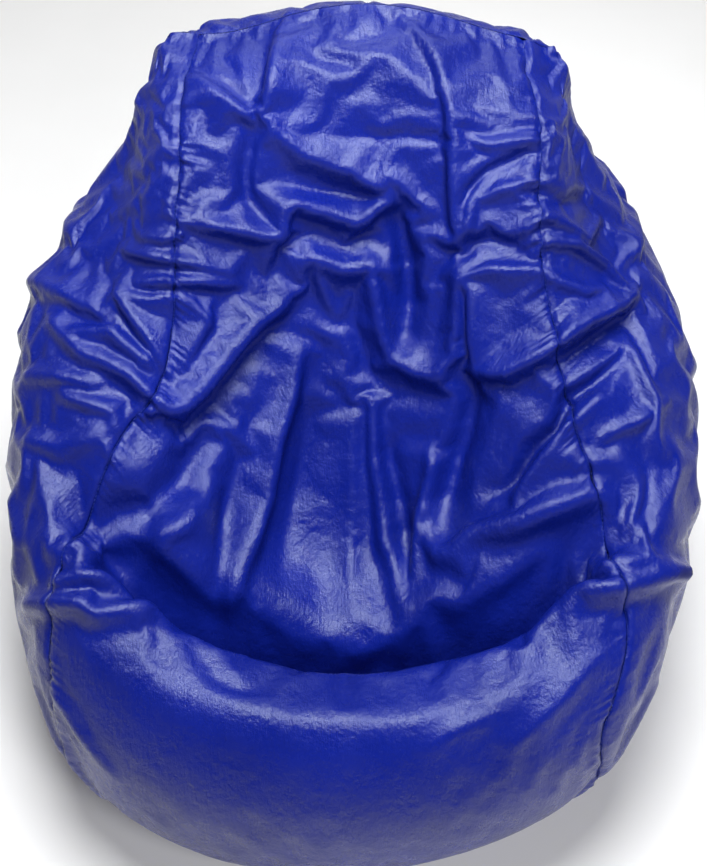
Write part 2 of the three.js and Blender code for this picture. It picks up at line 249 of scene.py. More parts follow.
LUMBAR_FOLDS = [
    ([(-.5, 9.78, 6), (-.42, 9.62, 8), (-.29, 9.44, 9), (-.04, 9.31, 11), (.09, 9.21, 12),
      (.16, 9.11, 6)], 40, 24),
    ([(-.95, 8.75, 3), (-.74, 8.79, 8), (-.49, 8.81, 12)], 35, 15),
    ([(-.49, 8.81, 13), (-.41, 8.84, 14), (-.38, 9.02, 16), (-.34, 9.06, 17), (-.21, 9.03, 15)], 35, 13),
    ([(-.21, 9.03, 15), (-.03, 8.97, 14), (.03, 8.99, 14), (.1, 9.09, 13), (.16, 9.11, 8)], 35, 13),
    ([(-.54, 9.66, -4), (-.58, 9.36, -6), (-.57, 9.1, -6), (-.49, 8.96, -5)], 18, 18),
    ([(-.36, 9.2, -6), (-.16, 9.17, -8), (.06, 9.14, -7)], 22, 14),
    ([(-.25, 8.72, 13), (-.08, 8.68, 15), (.07, 8.7, 14)], 24, 40),
    ([(-.25, 8.72, 12), (-.19, 8.53, 8), (-.11, 8.33, 2)], 20, 12),
    ([(-.04, 8.68, 8), (-.06, 8.49, 6), (-.11, 8.33, 2)], 15, 15),
    ([(.07, 8.7, 13), (.11, 8.56, 16), (.16, 8.31, 16), (.21, 8.12, 11)], 14, 36),
    ([(.19, 9.04, -10), (.24, 8.72, -16), (.26, 8.46, -15), (.25, 8.25, -8)], 24, 14),
    ([(.21, 8.11, 11), (.33, 7.98, 11), (.44, 7.89, 12), (.51, 7.99, 10)], 30, 22),
    ([(.51, 7.99, 10), (.54, 8.24, 12), (.55, 8.53, 12)], 25, 8),
]
LEFT_SEAM_FOLDS = [
    ([(-1.6, 6.6, 6), (-1.34, 6.8, 9), (-1.06, 7.08, 12), (-.95, 7.08, 14), (-.84, 7.12, 17)], 32, 14),
    ([(-.84, 7.12, 17), (-.79, 7.24, 18), (-.74, 7.44, 19), (-.62, 7.89, 18), (-.51, 8.18, 15),
      (-.39, 8.36, 6)], 38, 13),
    ([(-.75, 7.14, -8), (-.66, 7.48, -12), (-.54, 7.96, -10), (-.42, 8.21, -4)], 10, 32),
    ([(-1.31, 7.59, 11), (-1.24, 7.56, 11), (-1.03, 7.49, 10), (-.9, 7.38, 5)], 30, 11),
    ([(-1.31, 7.6, 10), (-1.1, 7.83, 8), (-.97, 8.01, 7), (-.86, 8.06, 6)], 10, 28),
    ([(-.86, 8.06, 6), (-.76, 8.0, 9), (-.8, 7.75, 9), (-.84, 7.44, 5)], 12, 25),
    ([(-1.22, 7.85, 6), (-1.0, 8.1, 10), (-.81, 8.28, 9), (-.66, 8.36, 3)], 16, 8),
    ([(-1.39, 8.01, 4), (-1.17, 8.2, 8), (-.96, 8.34, 8), (-.67, 8.46, 4)], 16, 8),
    ([(-1.29, 8.3, 3), (-1.08, 8.46, 7), (-.97, 8.58, 4)], 14, 8),
    ([(-2.05, 6.0, 10), (-1.67, 6.9, 9), (-1.42, 7.24, 8), (-1.28, 7.31, 5)], 40, 18),
    ([(-1.45, 6.86, 8), (-1.26, 7.26, 11), (-1.14, 7.3, 11), (-1.01, 7.33, 11), (-1.06, 7.11, 4)], 12, 25),
    ([(-1.56, 5.89, 6), (-1.39, 6.34, 8), (-1.22, 6.66, 5)], 18, 9),
    ([(-1.31, 6.28, 6), (-1.17, 6.5, 9), (-1.08, 6.62, 8), (-1.03, 6.58, 3)], 18, 8),
    ([(-1.41, 5.38, 5), (-1.21, 5.83, 8), (-1.1, 6.24, 4)], 15, 10),
    ([(-1.44, 4.44, 5), (-1.29, 4.36, 7), (-1.31, 3.83, 4)], 14, 12),
    ([(-.66, 7.15, -9), (-.7, 6.71, -14), (-.78, 6.21, -14), (-.83, 5.8, -10)], 20, 35),
]
SEAT_FOLDS = [
    ([(.54, 7.9, -5), (.55, 7.65, -12), (.51, 7.45, -13), (.46, 7.31, -13), (.41, 7.06, -11),
      (.39, 6.84, -5)], 35, 18),
    ([(-.29, 8.12, 4), (-.33, 7.78, 10), (-.38, 7.48, 13), (-.4, 7.04, 14), (-.42, 6.61, 13)], 17, 30),
    ([(-.42, 6.61, 13), (-.44, 6.12, 9), (-.44, 5.73, 3)], 17, 24),
    ([(-.44, 5.73, 3), (-.51, 5.94, 9), (-.6, 6.06, 12), (-.7, 6.04, 13)], 30, 22),
    ([(-1.0, 5.08, 6), (-.88, 5.45, 11), (-.72, 6.09, 13), (-.66, 6.43, 12), (-.65, 6.61, 6)], 12, 35),
    ([(-.51, 7.2, -4), (-.51, 6.74, -9), (-.46, 5.96, -4)], 18, 22),
    ([(-.99, 4.59, 9), (-.84, 4.99, 9), (-.69, 5.21, 10), (-.56, 5.5, 8), (-.45, 5.7, 3)], 15, 12),
    ([(-1.15, 3.96, 6), (-.97, 4.4, 11), (-.86, 4.61, 14), (-.8, 4.6, 11), (-.67, 4.94, 10), (-.54, 5.44, 8),
      (-.44, 5.7, 2)], 12, 18),
    ([(-.09, 8.3, 3), (-.01, 7.86, 6), (0, 7.4, 8), (.01, 6.85, 8), (.03, 6.35, 4)], 40, 40),
    ([(-.22, 7.7, -4), (-.25, 7.25, -7), (-.28, 6.61, -4)], 25, 25),
    ([(.1, 7.86, 6), (.14, 7.46, 10), (.19, 6.93, 10), (.26, 6.49, 3)], 14, 30),
    ([(.17, 7.55, -5), (.24, 7.0, -9), (.26, 6.54, -3)], 20, 10),
    ([(.41, 7.35, 10), (.35, 7.01, 11), (.3, 6.66, 8), (.26, 6.49, 3)], 14, 18),
    ([(.38, 7.11, 8), (.38, 6.81, 11), (.41, 6.64, 13), (.47, 6.58, 13), (.54, 6.6, 13), (.69, 6.44, 13),
      (.81, 6.33, 12), (.95, 6.15, 8)], 18, 24),
    ([(.61, 6.84, -4), (.69, 6.83, -9), (.79, 6.94, -9), (.89, 6.95, -9), (1.01, 7.06, -9), (1.2, 6.99, -8),
      (1.41, 6.9, -3)], 14, 9),
    ([(.7, 6.66, 6), (.85, 6.78, 9), (.98, 6.85, 8), (1.15, 6.85, 7)], 10, 30),
    ([(.36, 5.71, 3), (.44, 5.93, 9), (.56, 5.95, 12), (.68, 5.85, 13), (.78, 5.61, 13), (.96, 5.12, 11),
      (1.06, 4.98, 5)], 28, 20),
    ([(.36, 5.71, 4), (.51, 5.36, 11), (.68, 5.16, 14), (.82, 5.04, 15), (.93, 4.89, 15), (1.21, 4.48, 13),
      (1.36, 4.04, 8)], 16, 18),
    ([(.49, 5.69, -3), (.61, 5.55, -7), (.75, 5.38, -8), (.89, 5.11, -5)], 14, 14),
]
RIGHT_SEAM_FOLDS = [
    ([(.55, 8.53, 11), (.69, 8.54, 10), (.99, 8.35, 6)], 10, 30),
    ([(.55, 8.53, 11), (.6, 8.39, 12), (.6, 7.98, 12), (.61, 7.8, 9)], 35, 9),
    ([(.61, 7.79, 9), (.76, 7.64, 15), (.93, 7.59, 15), (1.05, 7.58, 13)], 35, 12),
    ([(1.06, 7.58, 13), (1.25, 7.53, 14), (1.5, 7.34, 13), (1.69, 7.18, 8)], 30, 10),
    ([(1.06, 7.44, -10), (1.29, 7.35, -14), (1.52, 7.2, -9)], 8, 30),
    ([(.97, 6.08, 6), (.99, 5.81, 10), (1.04, 5.53, 9), (1.1, 5.54, 9), (1.2, 5.64, 5)], 22, 12),
    ([(1.07, 4.89, 5), (1.2, 4.65, 9), (1.3, 4.28, 6)], 12, 12),
    ([(.93, 9.15, -5), (1.32, 8.83, -7), (1.82, 8.45, -3)], 14, 14),
    ([(.9, 8.79, 5), (1.04, 8.83, 8), (1.5, 8.21, 8), (1.68, 8.15, 8), (1.88, 8.04, 4)], 15, 9),
    ([(1.02, 8.59, 6), (1.35, 8.29, 10), (1.61, 7.76, 10), (1.7, 7.19, 6)], 18, 9),
    ([(1.01, 8.26, 4), (1.32, 7.79, 8), (1.46, 7.65, 4)], 14, 9),
    ([(1.46, 6.81, 5), (1.43, 6.24, 7), (1.35, 5.74, 3)], 15, 12),
    ([(1.09, 6.49, 4), (1.3, 6.26, 7), (1.51, 6.01, 4)], 15, 9),
]
ROLL_FOLDS = [
    ([(.82, 4.24, 4), (.71, 4.0, 5), (.6, 3.74, 4), (.53, 3.59, 2)], 20, 20),
    ([(.44, 3.94, 3), (.35, 3.83, 4), (.29, 3.71, 2)], 16, 16),
    ([(-.39, 4.45, -3), (-.31, 4.35, -2)], 14, 14),
    ([(-.96, 3.36, 4), (-.83, 3.09, 5), (-.72, 2.79, 2)], 16, 16),
    ([(-1.2, 2.7, 4), (-1.0, 2.3, 5), (-.9, 1.7, 3)], 16, 12),
    ([(1.25, 2.9, 4), (1.05, 2.4, 5), (.9, 1.9, 3)], 16, 12),
    ([(-.4, 1.2, 2), (0, 1.05, 4), (.4, 1.2, 2)], 14, 14),
]
REAR_FOLDS = [
    ([(2.2, 10.4, 5), (2.6, 9.2, 9), (2.9, 7.9, 8), (3.1, 6.8, 4)], 20, 34),
    ([(-2.2, 10.4, 5), (-2.6, 9.3, 9), (-3.0, 8.2, 8), (-3.2, 7.2, 4)], 34, 20),
    ([(3.1, 10.2, 4), (3.3, 9.4, 9), (3.55, 8.6, 8), (3.75, 8.0, 3)], 16, 28),
    ([(-3.1, 10.2, 4), (-3.35, 9.3, 9), (-3.6, 8.7, 7), (-3.8, 8.3, 3)], 28, 16),
    ([(2.1, 7.0, 5), (2.5, 6.2, 9), (2.9, 5.8, 9), (3.3, 5.9, 4)], 26, 14),
    ([(-2.1, 6.9, 5), (-2.5, 5.9, 9), (-2.9, 5.4, 9), (-3.4, 5.6, 4)], 14, 26),
    ([(3.2, 4.8, 4), (3.5, 4.1, 8), (3.75, 3.9, 4)], 26, 14),
    ([(-3.2, 4.5, 4), (-3.5, 4.9, 8), (-3.8, 4.7, 4)], 26, 14),
    ([(2.0, 5.0, 4), (2.3, 4.0, 8), (2.5, 3.0, 7), (2.55, 2.2, 3)], 18, 26),
    ([(-2.0, 5.2, 4), (-2.2, 4.2, 8), (-2.35, 3.2, 8), (-2.3, 2.2, 3)], 26, 18),
    ([(2.9, 3.2, 4), (3.1, 2.4, 7), (3.2, 1.5, 3)], 16, 24),
    ([(-2.8, 3.0, 4), (-3.05, 2.2, 8), (-3.1, 1.4, 3)], 24, 16),
    ([(1.6, 4.2, 4), (1.75, 3.2, 8), (1.7, 2.2, 4)], 20, 16),
    ([(-1.7, 4.0, 4), (-1.8, 3.0, 7), (-1.7, 1.9, 4)], 16, 20),
    ([(2.6, 7.6, -4), (2.7, 6.9, -7), (2.6, 6.3, -4)], 20, 20),
    ([(-2.7, 7.4, -4), (-2.8, 6.6, -7), (-2.6, 6.0, -4)], 20, 20),
    ([(2.05, 9.6, 3), (2.3, 8.6, 8), (2.35, 7.8, 4)], 14, 24),
    ([(-2.0, 9.5, 3), (-2.2, 8.6, 8), (-2.3, 7.7, 4)], 24, 14),
]
FOLDS = [
    *HEAD_FOLDS, *LUMBAR_FOLDS, *LEFT_SEAM_FOLDS, *SEAT_FOLDS, *RIGHT_SEAM_FOLDS, *ROLL_FOLDS, *REAR_FOLDS,
]

FLANK = 1.45        # a fold's foot reaches this many times the width given for it
FLANK_CURVE = 1.6   # 1 is a straight slope from ridge to foot, more is hollow
RISE = 1.25         # times the height given for a fold, to make up for what the cloth settles
SEAT_RISE = .6      # as much again for the folds of the seat
CREASE_RISE = .8    # times the height of a random crease
# Random creases: (count, range of columns, range of rows, range of heights in mm, seed).
RANDOM_CREASES = [
    (46, (1.05, 3.0), (.5, 10), (2, 5), 3),
    (46, (-3.0, -1.05), (.5, 10), (2, 5), 4),
    (30, (3.0, 5.0), (.5, 10), (2, 4), 5),
    (14, (-.9, .9), (8, 10.6), (1.5, 3), 6),
    (10, (-1, 1), (1, 4), (1, 2), 7),
]
COLUMNS_PER_REACH = .6      # a crease that reaches 1 takes up this many columns, or this many rows
ROWS_PER_REACH = 1.6
EDGE_MARGIN = .1            # rows that random creases keep away from the floor and the top seam


def fold_heights(points, normals, folds):
    """The highest ridge and the deepest hollow at each grid point, added up, in metres."""
    ridges = np.zeros(points.shape[:2])
    hollows = np.zeros(points.shape[:2])
    for line, left_width, right_width in folds:
        line = np.array(line, float)
        places = smooth_skin(line[:, 0], line[:, 1])
        heights = line[:, 2] * MM
        widest = max(left_width, right_width) * MM * FLANK
        near = ((points > places.min(0) - widest) & (points < places.max(0) + widest)).all(-1)
        spot, normal = points[near], normals[near]
        nearest = np.full(len(spot), np.inf)
        height = np.zeros(len(spot))
        for start, end, low, high in zip(places, places[1:], heights, heights[1:]):
            run = end - start
            part = np.clip((spot - start) @ run / (run @ run), 0, 1)
            offset = spot - start - part[:, None] * run
            distance = np.linalg.norm(offset, axis=1)
            on_left = (np.cross(run, offset) * normal).sum(1) > 0
            share = distance / (np.where(on_left, left_width, right_width) * MM * FLANK)
            closer = share < nearest
            nearest = np.where(closer, share, nearest)
            height = np.where(closer, low + (high - low) * part, height)
        lifted = height * np.clip(1 - nearest, 0, 1) ** FLANK_CURVE
        ridges[near] = np.maximum(ridges[near], lifted)
        hollows[near] = np.minimum(hollows[near], lifted)
    return ridges + hollows


def random_creases(count, column_range, row_range, height_range, seed):
    """Short creases at random places, each a bent line of three points."""
    random = np.random.RandomState(seed)
    creases = []
    for _ in range(count):
        column = random.uniform(*column_range)
        row = random.uniform(*row_range)
        heading = random.uniform(0, 2 * math.pi)
        reach = random.uniform(.12, .32)
        bend = random.uniform(-.5, .5)
        height = random.uniform(*height_range)
        middle = (column, row, height)
        tips = []
        for sign, turn in ((-1, 0), (1, bend)):
            across = sign * reach * math.cos(heading + turn) * COLUMNS_PER_REACH
            along = sign * reach * math.sin(heading + turn) * ROWS_PER_REACH
            tip_row = min(max(row + along, EDGE_MARGIN), TOP_ROW - EDGE_MARGIN)
            tips.append((column + across, tip_row, height / 4))
        narrow = random.uniform(6, 11)
        broad = random.uniform(12, 24)
        creases.append(([tips[0], middle, tips[1]], narrow, broad))
    return creases


def around(column, row, column_reach, row_reach):
    """1 at a place on the working grid, fading to 0 round it."""
    return bell(round_distance(COLUMN_AT, column), column_reach) * bell(ROW_AT - row, row_reach)


def folded_bag():
    """The working grid with its unevenness and folds."""
    points = smooth_skin(seams_bent(COLUMN_AT, ROW_AT), ROW_AT)
    for column, row, column_reach, row_reach, move in SHIFTS:
        share = around(column, row, column_reach, row_reach)
        points = points + share[..., None] * np.array(move) * MM
    normals = normals_of(points)
    height = np.zeros(points.shape[:2])
    for column, row, column_reach, row_reach, rise in UNEVEN:
        height += rise * MM * around(column, row, column_reach, row_reach)
    creases = [crease for group in RANDOM_CREASES for crease in random_creases(*group)]
    height += RISE * fold_heights(points, normals, FOLDS)
    height += SEAT_RISE * fold_heights(points, normals, SEAT_FOLDS)
    height += CREASE_RISE * fold_heights(points, normals, creases)
    height = softened(height)
    return points + normals * (height * held_back())[..., None]


def softened(height):
    """The heights blurred over their next neighbours, so that a fold doesn't follow the grid in steps."""
    height = (np.roll(height, 1, 1) + 2 * height + np.roll(height, -1, 1)) / 4
    padded = np.concatenate([height[:1], height, height[-1:]])
    return (padded[:-2] + 2 * height + padded[2:]) / 4


ZIP_ROWS = (3, 8)
HELD_ROWS = (2.4, 8.6)      # the cover beside the zips keeps its CAD place between these rows
HELD_COLUMNS = .06          # and this far from the rear centre
TOP_FREEDOM = .3            # how far the top edge is free to move


def held_back():
    """0 where the cover has to keep its CAD place (zip, floor edge), less than 1 at the top, 1 elsewhere."""
    lowest, highest = HELD_ROWS
    from_zip = np.abs(round_distance(COLUMN_AT, 4))
    beside_zip = ramp(from_zip - HELD_COLUMNS, .14)
    zip_rows = ramp(ROW_AT - lowest, .4) * ramp(highest - ROW_AT, .4)
    at_zip = 1 - zip_rows * (1 - beside_zip)
    at_floor = ramp(ROW_AT, .5)
    at_top = TOP_FREEDOM + (1 - TOP_FREEDOM) * ramp(TOP_ROW - ROW_AT, .4)
    return at_zip * at_floor * at_top


LOOSEST = .85       # where the cover lies over nothing that pulls it taut


def looseness():
    """0 where the cover is taut (front roll), 1 where it has cloth to spare (along the seams, the sides)."""
    aside = np.abs(round_distance(COLUMN_AT, 0))
    front = ramp(1.25 - aside, .4)
    roll = .85 * front * ramp(4.9 - ROW_AT, .6)
    seat = .55 * bell(aside, .55) * bell(ROW_AT - 6.9, .9)
    rear = .35 * bell(aside - 4, 1)
    head = .3 * bell(ROW_AT - 10.2, .7) * front
    return np.clip(LOOSEST - roll - seat - rear - head, 0, 1)


# ---- Cloth simulation ----
PINNED_BELOW = .35      # where held_back() is less than this, the cloth is pinned
HOLD_SPRING = .5        # how strongly the rest of the cloth is drawn back to its folded place
PIN_STIFFNESS = .05
STRETCHING = 40
SHEARING = 15
BENDING = 32
DAMPING = 8
TAUT_SLACK = .003       # how much longer than its place the cloth is cut where it is taut, as a share
LOOSE_SLACK = .036      # and where it is loose
PRESSURE = .6           # of the beads against the cover
SIM_FRAMES = 16
MOVE_CAP = 12 * MM      # the cloth settles no further than this from its folded place


def weigh(thing, group_name, weights):
    """A vertex group with these few different weights."""
    group = thing.vertex_groups.new(name=group_name)
    weights = weights.reshape(-1)
    for level in np.unique(weights):
        group.add(np.flatnonzero(weights == level).tolist(), float(level), "REPLACE")


def relaxed(points):
    """The folded grid after Blender's cloth has let it buckle and settle."""
    rows, columns = points.shape[:2]
    mesh = bpy.data.meshes.new("cloth_work")
    mesh.from_pydata(points.reshape(-1, 3).tolist(), [], grid_quads(rows, columns, closed=True).tolist())
    bag = bpy.data.objects.new("cloth_work", mesh)
    bpy.context.scene.collection.objects.link(bag)
    weigh(bag, "hold", np.where(held_back() < PINNED_BELOW, 1.0, HOLD_SPRING))
    weigh(bag, "taut", np.round(1 - looseness(), 1))
    cloth = bag.modifiers.new("cloth", "CLOTH")
    settings = cloth.settings
    settings.quality = 4
    settings.mass = .25
    settings.tension_stiffness = STRETCHING
    settings.compression_stiffness = STRETCHING
    settings.shear_stiffness = SHEARING
    settings.bending_stiffness = BENDING
    settings.tension_damping = DAMPING
    settings.compression_damping = DAMPING
    settings.shear_damping = DAMPING
    settings.bending_damping = .5
    settings.air_damping = 3
    settings.vertex_group_mass = "hold"
    settings.pin_stiffness = PIN_STIFFNESS
    settings.vertex_group_shrink = "taut"
    settings.shrink_min = -LOOSE_SLACK
    settings.shrink_max = -TAUT_SLACK
    settings.use_pressure = True
    settings.uniform_pressure_force = PRESSURE
    settings.effector_weights.gravity = 0
    cloth.collision_settings.use_collision = False
    cloth.point_cache.frame_start = 1
    cloth.point_cache.frame_end = SIM_FRAMES
    scene = bpy.context.scene
    for number in range(1, SIM_FRAMES + 1):
        scene.frame_set(number)
    settled = bag.evaluated_get(bpy.context.evaluated_depsgraph_get())
    flat = np.zeros(rows * columns * 3)
    settled.data.vertices.foreach_get("co", flat)
    scene.frame_set(1)
    bpy.data.objects.remove(bag)
    bpy.data.meshes.remove(mesh)
    move = flat.reshape(rows, columns, 3) - points
    length = np.linalg.norm(move, axis=-1, keepdims=True)
    return points + move * np.minimum(1, MOVE_CAP / np.maximum(length, 1e-9))


CRISPNESS = .42     # share of a fold's height that is drawn again on the settled cloth


def creased(points):
    """The cover with the folds drawn on it once more, low and sharp: cloth keeps its creases."""
    skin = smooth_skin(seams_bent(COLUMN_AT, ROW_AT), ROW_AT)
    height = CRISPNESS * fold_heights(skin, normals_of(skin), FOLDS) * held_back()
    return points + normals_of(points) * height[..., None]


TOP_ALLOWANCE = 1.5 * MM    # between the front's and the rear's top edge
ALLOWANCE_FADE = 20 * MM    # towards the top corners
CLOSING_FROM_ROW = 10.2     # where the rear starts to lean towards the front's top edge
CLOSING_ROWS = .8


def closed_top(points):
    """The rear of the cover brought to the front's top edge, where both are sewn together."""
    across = round_distance(COLUMN_AT[-1], 0)
    edge = points[-1, np.abs(across) <= 2]
    edge = edge[np.argsort(edge[:, 0])]
    rear = np.flatnonzero(np.abs(across) > 2)
    top = points[-1, rear]
    left, right = top[:, 0].min(), top[:, 0].max()
    matched = top[:, 0] * np.where(top[:, 0] < 0, edge[0, 0] / left, edge[-1, 0] / right)
    target = np.stack([np.interp(matched, edge[:, 0], edge[:, axis]) for axis in range(3)], -1)
    target[:, 1] += TOP_ALLOWANCE * ramp(np.abs(edge[:, 0]).max() - np.abs(matched), ALLOWANCE_FADE)
    share = ramp(GRID_ROWS - CLOSING_FROM_ROW, CLOSING_ROWS)[:, None, None] ** 2
    points = points.copy()
    points[:, rear] += (target - top) * share
    return points


bag_points = folded_bag()
bag_points = relaxed(bag_points)
bag_points = closed_top(creased(bag_points))


# ---- Meshes from grids ----
def doubled(grid):
    """Twice as many lines of points, the new ones on smooth curves through the old ones."""
    padded = np.concatenate([2 * grid[:1] - grid[1:2], grid, 2 * grid[-1:] - grid[-2:-1]])
    middle = (9 * (padded[1:-2] + padded[2:-1]) - padded[:-3] - padded[3:]) / 16
    both = np.empty((2 * len(grid) - 1, *grid.shape[1:]))
    both[0::2] = grid
    both[1::2] = middle
    return both


def open_normals(grid):
    """Outward normals of a grid with four edges."""
    normal = np.cross(np.gradient(grid, axis=1), np.gradient(grid, axis=0))
    return normal / (np.linalg.norm(normal, axis=-1, keepdims=True) + 1e-12)


def add_piece(name, vertices, faces, material, slot, replaced, body="bag", smooth_shaded=True, closed=True):
    """A mesh that rides on a body in place of a CAD node; a closed one has its faces turned outwards."""
    mesh = bpy.data.meshes.new(name)
    mesh.from_pydata(np.asarray(vertices).tolist(), [], [list(map(int, face)) for face in faces])
    if closed:
        work = bmesh.new()
        work.from_mesh(mesh)
        bmesh.ops.recalc_face_normals(work, faces=work.faces)
        work.to_mesh(mesh)
        work.free()
    if smooth_shaded:
        mesh.shade_smooth()
    mesh.materials.append(material)
    piece = bpy.data.objects.new(name, mesh)
    bpy.context.scene.collection.objects.link(piece)
    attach(piece, body)
    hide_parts(replaced)
    return piece


def tube_faces(start, rings, sides):
    """Faces of a tube whose rings of vertices start at that index, with a face over each end."""
    first_ring = list(range(start, start + sides))
    last_ring = [index + (rings - 1) * sides for index in first_ring]
    return [*(grid_quads(rings, sides, closed=True) + start).tolist(), first_ring[::-1], last_ring]


def name_places(piece, places):
    """Gives each vertex its place on the cloth in metres, across and along, for the fine creases."""
    layer = piece.data.uv_layers.new(name="cloth")
    corners = np.zeros(len(piece.data.loops), int)
    piece.data.loops.foreach_get("vertex_index", corners)
    layer.data.foreach_set("uv", places.reshape(-1, 2)[corners].reshape(-1).astype(np.float32))


def arc_lengths(line):
    """Distance along a line of points from its first point."""
    steps = np.linalg.norm(np.diff(line, axis=0), axis=1)
    return np.concatenate([[0], np.cumsum(steps)])


# ---- Materials ----
class Look:
    """A Principled material whose colour, roughness and bump come from procedural textures."""

    def __init__(self, name, roughness, metallic=0, ior=1.5):
        self.material = bpy.data.materials.new(name)
        self.material.use_nodes = True
        self.nodes = self.material.node_tree.nodes
        self.links = self.material.node_tree.links
        self.shader = self.nodes["Principled BSDF"]
        self.shader.inputs["Roughness"].default_value = roughness
        self.shader.inputs["Metallic"].default_value = metallic
        self.shader.inputs["IOR"].default_value = ior
        self.last_bump = None

    def coordinates(self, stretch=(1, 1, 1), on_cloth=False):
        if on_cloth:
            place = self.nodes.new("ShaderNodeUVMap")
            place.uv_map = "cloth"
            output = place.outputs["UV"]
        else:
            place = self.nodes.new("ShaderNodeTexCoord")
            output = place.outputs["Object"]
        mapping = self.nodes.new("ShaderNodeMapping")
        mapping.inputs["Scale"].default_value = stretch
        self.links.new(output, mapping.inputs["Vector"])
        return mapping.outputs["Vector"]

    def noise(self, scale, detail=3, roughness=.5, stretch=(1, 1, 1), on_cloth=False):
        texture = self.nodes.new("ShaderNodeTexNoise")
        texture.inputs["Scale"].default_value = scale
        texture.inputs["Detail"].default_value = detail
        texture.inputs["Roughness"].default_value = roughness
        self.links.new(self.coordinates(stretch, on_cloth), texture.inputs["Vector"])
        return texture.outputs["Fac"]

    def cells(self, scale):
        texture = self.nodes.new("ShaderNodeTexVoronoi")
        texture.inputs["Scale"].default_value = scale
        self.links.new(self.coordinates(), texture.inputs["Vector"])
        return texture.outputs["Distance"]

    def ribs(self, scale, direction):
        texture = self.nodes.new("ShaderNodeTexWave")
        texture.bands_direction = direction
        texture.inputs["Scale"].default_value = scale
        texture.inputs["Distortion"].default_value = .6
        texture.inputs["Detail"].default_value = 1
        self.links.new(self.coordinates(), texture.inputs["Vector"])
        return texture.outputs["Fac"]

    def color(self, pattern, low, high, spread=(.3, .7)):
        ramp = self.nodes.new("ShaderNodeValToRGB")
        for element, position, tone in zip(ramp.color_ramp.elements, spread, (low, high)):
            element.position = position
            element.color = (*tone, 1)
        self.links.new(pattern, ramp.inputs["Fac"])
        self.links.new(ramp.outputs["Color"], self.shader.inputs["Base Color"])

    def roughness(self, pattern, low, high):
        reach = self.nodes.new("ShaderNodeMapRange")
        reach.inputs["From Min"].default_value = .3
        reach.inputs["From Max"].default_value = .7
        reach.inputs["To Min"].default_value = low
        reach.inputs["To Max"].default_value = high
        self.links.new(pattern, reach.inputs["Value"])
        self.links.new(reach.outputs["Result"], self.shader.inputs["Roughness"])

    def bump(self, pattern, distance, strength=.5):
        bump = self.nodes.new("ShaderNodeBump")
        bump.inputs["Distance"].default_value = distance
        bump.inputs["Strength"].default_value = strength
        self.links.new(pattern, bump.inputs["Height"])
        if self.last_bump:
            self.links.new(self.last_bump.outputs["Normal"], bump.inputs["Normal"])
        self.links.new(bump.outputs["Normal"], self.shader.inputs["Normal"])
        self.last_bump = bump


def vinyl():
    """Glossy royal blue film with soft dents, fine creases along the cloth and a faint grain."""
    look = Look("vinyl", .3, ior=1.44)
    look.color(look.noise(7, 4), (.0026, .0078, .138), (.0040, .0112, .182))
    look.roughness(look.noise(30, 5, .6), .2, .36)
    look.bump(look.noise(30, 6, .62), 6 * MM, .6)
    look.bump(look.noise(230, 5, .7, (1, .25, 1), on_cloth=True), 2.2 * MM, .5)
    look.bump(look.noise(700, 3), .6 * MM, .4)
    return look.material


def thread():
    look = Look("thread", .6)
    look.color(look.noise(600, 2), (.006, .016, .17), (.012, .028, .26))
    look.bump(look.ribs(900, "DIAGONAL"), .15 * MM, .6)
    return look.material


def cloth(name, low, high, scale, weave_depth):
    look = Look(name, .85)
    look.color(look.noise(60, 4), low, high)
    look.bump(look.ribs(scale, "X"), weave_depth, .5)
    look.bump(look.ribs(scale, "Z"), weave_depth, .5)
    look.bump(look.noise(90, 4), .4 * MM, .4)
    look.shader.inputs["Sheen Weight"].default_value = .2
    return look.material


def beads():
    """Round white foam beads, 3 to 5 mm across, with painted shade: grey towards each bead's rim, between
    the beads.
    """
    look = Look("beads", .8)
    # Painted shade: white in the middle of each cell, going grey at its rim where the beads meet.
    look.color(look.cells(240), (.86, .86, .83), (.62, .62, .6), (.2, .75))
    look.bump(look.cells(240), -1.6 * MM, .9)
    return look.material


def zip_plastic():
    look = Look("zip_plastic", .4)
    look.color(look.noise(300, 2), (.006, .010, .045), (.012, .018, .075))
    look.roughness(look.noise(500, 2), .3, .5)
    look.bump(look.noise(1500, 2), .05 * MM, .5)
    return look.material


def zip_metal():
    look = Look("zip_metal", .32, metallic=1)
    look.color(look.noise(200, 4), (.42, .43, .46), (.58, .59, .62))
    look.roughness(look.noise(700, 3), .24, .42)
    look.bump(look.noise(1800, 2, stretch=(1, 1, .2)), .04 * MM, .4)
    return look.material


VINYL = vinyl()
THREAD = thread()
LINER_CLOTH = cloth("liner_cloth", (.78, .78, .75), (.86, .86, .83), 420, .15 * MM)
ZIP_TAPE = cloth("zip_tape", (.008, .014, .075), (.014, .022, .11), 700, .2 * MM)
LABEL_CLOTH = cloth("label_cloth", (.80, .80, .77), (.88, .88, .85), 900, .1 * MM)
BEADS = beads()
ZIP_PLASTIC = zip_plastic()
ZIP_METAL = zip_metal()

# ---- Cover panels ----
# Each panel: first and last column, then width, length and area of its flat cut in metres.
PANELS = {
    "front_panel": (-1, 1, .88, 1.66, .95),
    "side_panel_right": (1, 3, .93, 1.34, .61),
    "rear_panel_right": (3, 4, .40, .89, .30),
    "rear_panel_left": (4, 5, .40, .89, .30),
    "side_panel_left": (5, 7, .93, 1.34, .61),
}
GROOVE_DEPTH = 3.4 * MM
GROOVE_REACH = 5 * MM
PUCKER_HEIGHT = 2.6 * MM
PUCKER_REACH = 17 * MM
PUCKER_SPACING = 13 * MM
PUCKER_START = 3 * MM
HEM_DEPTH = 7 * MM
HEM_BEND = .35          # share of the hem's depth where it bends
HEM_TURN = (.4 * MM, 2.2 * MM)      # how far it leans inwards at the bend and at its end
ZIP_GAP = 11 * MM


